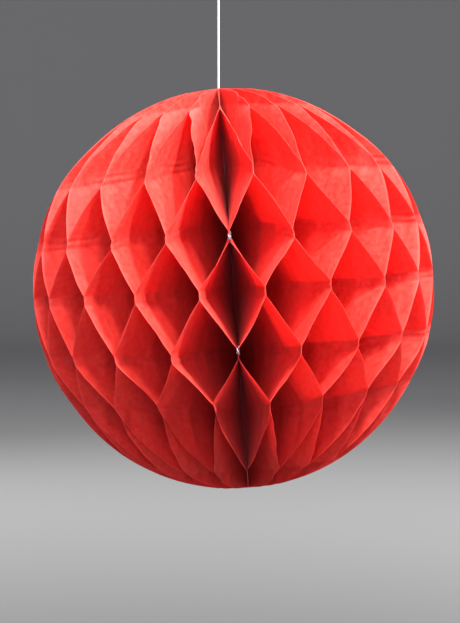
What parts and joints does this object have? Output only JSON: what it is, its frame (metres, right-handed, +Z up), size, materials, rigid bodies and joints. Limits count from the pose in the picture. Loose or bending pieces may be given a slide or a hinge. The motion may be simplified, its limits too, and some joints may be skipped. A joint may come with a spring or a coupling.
{
  "type": "paper honeycomb ball",
  "caption": "Round red paper honeycomb ball that fans open round a string and hangs from a small loop.",
  "frame": {"origin": "inside the top of the hanging loop, where a hook carries it", "axes": "+Z up along the string; the seam between the first and the last sheet faces -Y; the top of the ball leans 4.3 degrees towards -X"},
  "size_m": [0.199, 0.198, 0.2685],
  "materials": {
    "tissue": "thin glazed red paper, slightly see-through",
    "string": "white twisted cotton string",
    "thread": "red sewing thread",
    "wire": "bright steel wire"
  },
  "bodies": {
    "hanger": {"hanging_loop": "string", "loop_knot": "string"},
    "string": {"hanging_string": "string"},
    "spine": {"core_string": "string", "bottom_knot": "string", "spine_stitches": "thread", "sheet_01": "tissue"},
    "sheet_02": {"sheet_02": "tissue"},
    "sheet_03": {"sheet_03": "tissue"},
    "sheet_04": {"sheet_04": "tissue"},
    "sheet_05": {"sheet_05": "tissue"},
    "sheet_06": {"sheet_06": "tissue"},
    "sheet_07": {"sheet_07": "tissue"},
    "sheet_08": {"sheet_08": "tissue"},
    "sheet_09": {"sheet_09": "tissue"},
    "sheet_10": {"sheet_10": "tissue"},
    "sheet_11": {"sheet_11": "tissue"},
    "sheet_12": {"sheet_12": "tissue"},
    "sheet_13": {"sheet_13": "tissue"},
    "sheet_14": {"sheet_14": "tissue"},
    "sheet_15": {"sheet_15": "tissue"},
    "sheet_16": {"sheet_16": "tissue"},
    "sheet_17": {"sheet_17": "tissue"},
    "sheet_18": {"sheet_18": "tissue"},
    "sheet_19": {"sheet_19": "tissue"},
    "sheet_20": {"sheet_20": "tissue"},
    "sheet_21": {"sheet_21": "tissue"},
    "sheet_22": {"sheet_22": "tissue"},
    "sheet_23": {"sheet_23": "tissue"},
    "sheet_24": {"sheet_24": "tissue"},
    "sheet_25": {"sheet_25": "tissue"},
    "sheet_26": {"sheet_26": "tissue"},
    "sheet_27": {"sheet_27": "tissue"},
    "sheet_28": {"sheet_28": "tissue"},
    "sheet_29": {"sheet_29": "tissue"},
    "sheet_30": {"sheet_30": "tissue"},
    "sheet_31": {"sheet_31": "tissue"},
    "sheet_32": {"sheet_32": "tissue"},
    "sheet_33": {"sheet_33": "tissue"},
    "sheet_34": {"sheet_34": "tissue"},
    "sheet_35": {"sheet_35": "tissue"},
    "sheet_36": {"sheet_36": "tissue"},
    "sheet_37": {"sheet_37": "tissue"},
    "sheet_38": {"sheet_38": "tissue"},
    "sheet_39": {"sheet_39": "tissue"},
    "sheet_40": {"sheet_40": "tissue"},
    "clip_upper": {"clip_upper": "wire"},
    "clip_lower": {"clip_lower": "wire"}
  },
  "joints": [
    {"name": "string_twist", "type": "hinge", "parent": "hanger", "child": "string", "pos_m": [0, 0, -0.01565], "axis": [0, 0, 1], "continuous": true},
    {"name": "ball_lean", "type": "hinge", "parent": "string", "child": "spine", "pos_m": [0, 0, -0.06765], "axis": [0, 1, 0], "range_deg": [-10.7, 19.3]},
    {"name": "fold_02", "type": "hinge", "parent": "spine", "child": "sheet_02", "pos_m": [0, 0, -0.06765], "axis": [-0.075, 0, 0.9972], "range_deg": [-8.85, 0], "deforming": ["sheet_02"]},
    {"name": "fold_03", "type": "hinge", "parent": "spine", "child": "sheet_03", "pos_m": [0, 0, -0.06765], "axis": [-0.075, 0, 0.9972], "range_deg": [-17.7, 0], "deforming": ["sheet_03"]},
    {"name": "fold_04", "type": "hinge", "parent": "spine", "child": "sheet_04", "pos_m": [0, 0, -0.06765], "axis": [-0.075, 0, 0.9972], "range_deg": [-26.55, 0], "deforming": ["sheet_04"]},
    {"name": "fold_05", "type": "hinge", "parent": "spine", "child": "sheet_05", "pos_m": [0, 0, -0.06765], "axis": [-0.075, 0, 0.9972], "range_deg": [-35.4, 0], "deforming": ["sheet_05"]},
    {"name": "fold_06", "type": "hinge", "parent": "spine", "child": "sheet_06", "pos_m": [0, 0, -0.06765], "axis": [-0.075, 0, 0.9972], "range_deg": [-44.25, 0], "deforming": ["sheet_06"]},
    {"name": "fold_07", "type": "hinge", "parent": "spine", "child": "sheet_07", "pos_m": [0, 0, -0.06765], "axis": [-0.075, 0, 0.9972], "range_deg": [-53.1, 0], "deforming": ["sheet_07"]},
    {"name": "fold_08", "type": "hinge", "parent": "spine", "child": "sheet_08", "pos_m": [0, 0, -0.06765], "axis": [-0.075, 0, 0.9972], "range_deg": [-61.95, 0], "deforming": ["sheet_08"]},
    {"name": "fold_09", "type": "hinge", "parent": "spine", "child": "sheet_09", "pos_m": [0, 0, -0.06765], "axis": [-0.075, 0, 0.9972], "range_deg": [-70.8, 0], "deforming": ["sheet_09"]},
    {"name": "fold_10", "type": "hinge", "parent": "spine", "child": "sheet_10", "pos_m": [0, 0, -0.06765], "axis": [-0.075, 0, 0.9972], "range_deg": [-79.65, 0], "deforming": ["sheet_10"]},
    {"name": "fold_11", "type": "hinge", "parent": "spine", "child": "sheet_11", "pos_m": [0, 0, -0.06765], "axis": [-0.075, 0, 0.9972], "range_deg": [-88.5, 0], "deforming": ["sheet_11"]},
    {"name": "fold_12", "type": "hinge", "parent": "spine", "child": "sheet_12", "pos_m": [0, 0, -0.06765], "axis": [-0.075, 0, 0.9972], "range_deg": [-97.35, 0], "deforming": ["sheet_12"]},
    {"name": "fold_13", "type": "hinge", "parent": "spine", "child": "sheet_13", "pos_m": [0, 0, -0.06765], "axis": [-0.075, 0, 0.9972], "range_deg": [-106.2, 0], "deforming": ["sheet_13"]},
    {"name": "fold_14", "type": "hinge", "parent": "spine", "child": "sheet_14", "pos_m": [0, 0, -0.06765], "axis": [-0.075, 0, 0.9972], "range_deg": [-115.05, 0], "deforming": ["sheet_14"]},
    {"name": "fold_15", "type": "hinge", "parent": "spine", "child": "sheet_15", "pos_m": [0, 0, -0.06765], "axis": [-0.075, 0, 0.9972], "range_deg": [-123.9, 0], "deforming": ["sheet_15"]},
    {"name": "fold_16", "type": "hinge", "parent": "spine", "child": "sheet_16", "pos_m": [0, 0, -0.06765], "axis": [-0.075, 0, 0.9972], "range_deg": [-132.75, 0], "deforming": ["sheet_16"]},
    {"name": "fold_17", "type": "hinge", "parent": "spine", "child": "sheet_17", "pos_m": [0, 0, -0.06765], "axis": [-0.075, 0, 0.9972], "range_deg": [-141.6, 0], "deforming": ["sheet_17"]},
    {"name": "fold_18", "type": "hinge", "parent": "spine", "child": "sheet_18", "pos_m": [0, 0, -0.06765], "axis": [-0.075, 0, 0.9972], "range_deg": [-150.45, 0], "deforming": ["sheet_18"]},
    {"name": "fold_19", "type": "hinge", "parent": "spine", "child": "sheet_19", "pos_m": [0, 0, -0.06765], "axis": [-0.075, 0, 0.9972], "range_deg": [-159.3, 0], "deforming": ["sheet_19"]},
    {"name": "fold_20", "type": "hinge", "parent": "spine", "child": "sheet_20", "pos_m": [0, 0, -0.06765], "axis": [-0.075, 0, 0.9972], "range_deg": [-168.15, 0], "deforming": ["sheet_20"]},
    {"name": "fold_21", "type": "hinge", "parent": "spine", "child": "sheet_21", "pos_m": [0, 0, -0.06765], "axis": [-0.075, 0, 0.9972], "range_deg": [-177, 0], "deforming": ["sheet_21"]},
    {"name": "fold_22", "type": "hinge", "parent": "spine", "child": "sheet_22", "pos_m": [0, 0, -0.06765], "axis": [-0.075, 0, 0.9972], "range_deg": [-185.85, 0], "deforming": ["sheet_22"]},
    {"name": "fold_23", "type": "hinge", "parent": "spine", "child": "sheet_23", "pos_m": [0, 0, -0.06765], "axis": [-0.075, 0, 0.9972], "range_deg": [-194.7, 0], "deforming": ["sheet_23"]},
    {"name": "fold_24", "type": "hinge", "parent": "spine", "child": "sheet_24", "pos_m": [0, 0, -0.06765], "axis": [-0.075, 0, 0.9972], "range_deg": [-203.55, 0], "deforming": ["sheet_24"]},
    {"name": "fold_25", "type": "hinge", "parent": "spine", "child": "sheet_25", "pos_m": [0, 0, -0.06765], "axis": [-0.075, 0, 0.9972], "range_deg": [-212.4, 0], "deforming": ["sheet_25"]},
    {"name": "fold_26", "type": "hinge", "parent": "spine", "child": "sheet_26", "pos_m": [0, 0, -0.06765], "axis": [-0.075, 0, 0.9972], "range_deg": [-221.25, 0], "deforming": ["sheet_26"]},
    {"name": "fold_27", "type": "hinge", "parent": "spine", "child": "sheet_27", "pos_m": [0, 0, -0.06765], "axis": [-0.075, 0, 0.9972], "range_deg": [-230.1, 0], "deforming": ["sheet_27"]},
    {"name": "fold_28", "type": "hinge", "parent": "spine", "child": "sheet_28", "pos_m": [0, 0, -0.06765], "axis": [-0.075, 0, 0.9972], "range_deg": [-238.95, 0], "deforming": ["sheet_28"]},
    {"name": "fold_29", "type": "hinge", "parent": "spine", "child": "sheet_29", "pos_m": [0, 0, -0.06765], "axis": [-0.075, 0, 0.9972], "range_deg": [-247.8, 0], "deforming": ["sheet_29"]},
    {"name": "fold_30", "type": "hinge", "parent": "spine", "child": "sheet_30", "pos_m": [0, 0, -0.06765], "axis": [-0.075, 0, 0.9972], "range_deg": [-256.65, 0], "deforming": ["sheet_30"]},
    {"name": "fold_31", "type": "hinge", "parent": "spine", "child": "sheet_31", "pos_m": [0, 0, -0.06765], "axis": [-0.075, 0, 0.9972], "range_deg": [-265.5, 0], "deforming": ["sheet_31"]},
    {"name": "fold_32", "type": "hinge", "parent": "spine", "child": "sheet_32", "pos_m": [0, 0, -0.06765], "axis": [-0.075, 0, 0.9972], "range_deg": [-274.35, 0], "deforming": ["sheet_32"]},
    {"name": "fold_33", "type": "hinge", "parent": "spine", "child": "sheet_33", "pos_m": [0, 0, -0.06765], "axis": [-0.075, 0, 0.9972], "range_deg": [-283.2, 0], "deforming": ["sheet_33"]},
    {"name": "fold_34", "type": "hinge", "parent": "spine", "child": "sheet_34", "pos_m": [0, 0, -0.06765], "axis": [-0.075, 0, 0.9972], "range_deg": [-292.05, 0], "deforming": ["sheet_34"]},
    {"name": "fold_35", "type": "hinge", "parent": "spine", "child": "sheet_35", "pos_m": [0, 0, -0.06765], "axis": [-0.075, 0, 0.9972], "range_deg": [-300.9, 0], "deforming": ["sheet_35"]},
    {"name": "fold_36", "type": "hinge", "parent": "spine", "child": "sheet_36", "pos_m": [0, 0, -0.06765], "axis": [-0.075, 0, 0.9972], "range_deg": [-309.75, 0], "deforming": ["sheet_36"]},
    {"name": "fold_37", "type": "hinge", "parent": "spine", "child": "sheet_37", "pos_m": [0, 0, -0.06765], "axis": [-0.075, 0, 0.9972], "range_deg": [-318.6, 0], "deforming": ["sheet_37"]},
    {"name": "fold_38", "type": "hinge", "parent": "spine", "child": "sheet_38", "pos_m": [0, 0, -0.06765], "axis": [-0.075, 0, 0.9972], "range_deg": [-327.45, 0], "deforming": ["sheet_38"]},
    {"name": "fold_39", "type": "hinge", "parent": "spine", "child": "sheet_39", "pos_m": [0, 0, -0.06765], "axis": [-0.075, 0, 0.9972], "range_deg": [-336.3, 0], "deforming": ["sheet_39"]},
    {"name": "fold_40", "type": "hinge", "parent": "spine", "child": "sheet_40", "pos_m": [0, 0, -0.06765], "axis": [-0.075, 0, 0.9972], "range_deg": [-345.15, 0], "deforming": ["sheet_40", "sheet_01"]},
    {"name": "clip_upper_pull", "type": "slide", "parent": "spine", "child": "clip_upper", "axis": [0.0038, -0.9987, -0.0512], "range_m": [0, 0.024]},
    {"name": "clip_lower_pull", "type": "slide", "parent": "spine", "child": "clip_lower", "axis": [-0.0036, -0.9988, 0.0483], "range_m": [0, 0.024]}
  ],
  "couplings": [
    {"joint": "fold_02", "follows": "fold_40", "ratio": 0.025641},
    {"joint": "fold_03", "follows": "fold_40", "ratio": 0.051282},
    {"joint": "fold_04", "follows": "fold_40", "ratio": 0.076923},
    {"joint": "fold_05", "follows": "fold_40", "ratio": 0.10256},
    {"joint": "fold_06", "follows": "fold_40", "ratio": 0.12821},
    {"joint": "fold_07", "follows": "fold_40", "ratio": 0.15385},
    {"joint": "fold_08", "follows": "fold_40", "ratio": 0.17949},
    {"joint": "fold_09", "follows": "fold_40", "ratio": 0.20513},
    {"joint": "fold_10", "follows": "fold_40", "ratio": 0.23077},
    {"joint": "fold_11", "follows": "fold_40", "ratio": 0.25641},
    {"joint": "fold_12", "follows": "fold_40", "ratio": 0.28205},
    {"joint": "fold_13", "follows": "fold_40", "ratio": 0.30769},
    {"joint": "fold_14", "follows": "fold_40", "ratio": 0.33333},
    {"joint": "fold_15", "follows": "fold_40", "ratio": 0.35897},
    {"joint": "fold_16", "follows": "fold_40", "ratio": 0.38461},
    {"joint": "fold_17", "follows": "fold_40", "ratio": 0.41026},
    {"joint": "fold_18", "follows": "fold_40", "ratio": 0.4359},
    {"joint": "fold_19", "follows": "fold_40", "ratio": 0.46154},
    {"joint": "fold_20", "follows": "fold_40", "ratio": 0.48718},
    {"joint": "fold_21", "follows": "fold_40", "ratio": 0.51282},
    {"joint": "fold_22", "follows": "fold_40", "ratio": 0.53846},
    {"joint": "fold_23", "follows": "fold_40", "ratio": 0.5641},
    {"joint": "fold_24", "follows": "fold_40", "ratio": 0.58974},
    {"joint": "fold_25", "follows": "fold_40", "ratio": 0.61538},
    {"joint": "fold_26", "follows": "fold_40", "ratio": 0.64103},
    {"joint": "fold_27", "follows": "fold_40", "ratio": 0.66667},
    {"joint": "fold_28", "follows": "fold_40", "ratio": 0.69231},
    {"joint": "fold_29", "follows": "fold_40", "ratio": 0.71795},
    {"joint": "fold_30", "follows": "fold_40", "ratio": 0.74359},
    {"joint": "fold_31", "follows": "fold_40", "ratio": 0.76923},
    {"joint": "fold_32", "follows": "fold_40", "ratio": 0.79487},
    {"joint": "fold_33", "follows": "fold_40", "ratio": 0.82051},
    {"joint": "fold_34", "follows": "fold_40", "ratio": 0.84615},
    {"joint": "fold_35", "follows": "fold_40", "ratio": 0.87179},
    {"joint": "fold_36", "follows": "fold_40", "ratio": 0.89744},
    {"joint": "fold_37", "follows": "fold_40", "ratio": 0.92308},
    {"joint": "fold_38", "follows": "fold_40", "ratio": 0.94872},
    {"joint": "fold_39", "follows": "fold_40", "ratio": 0.97436}
  ]
}
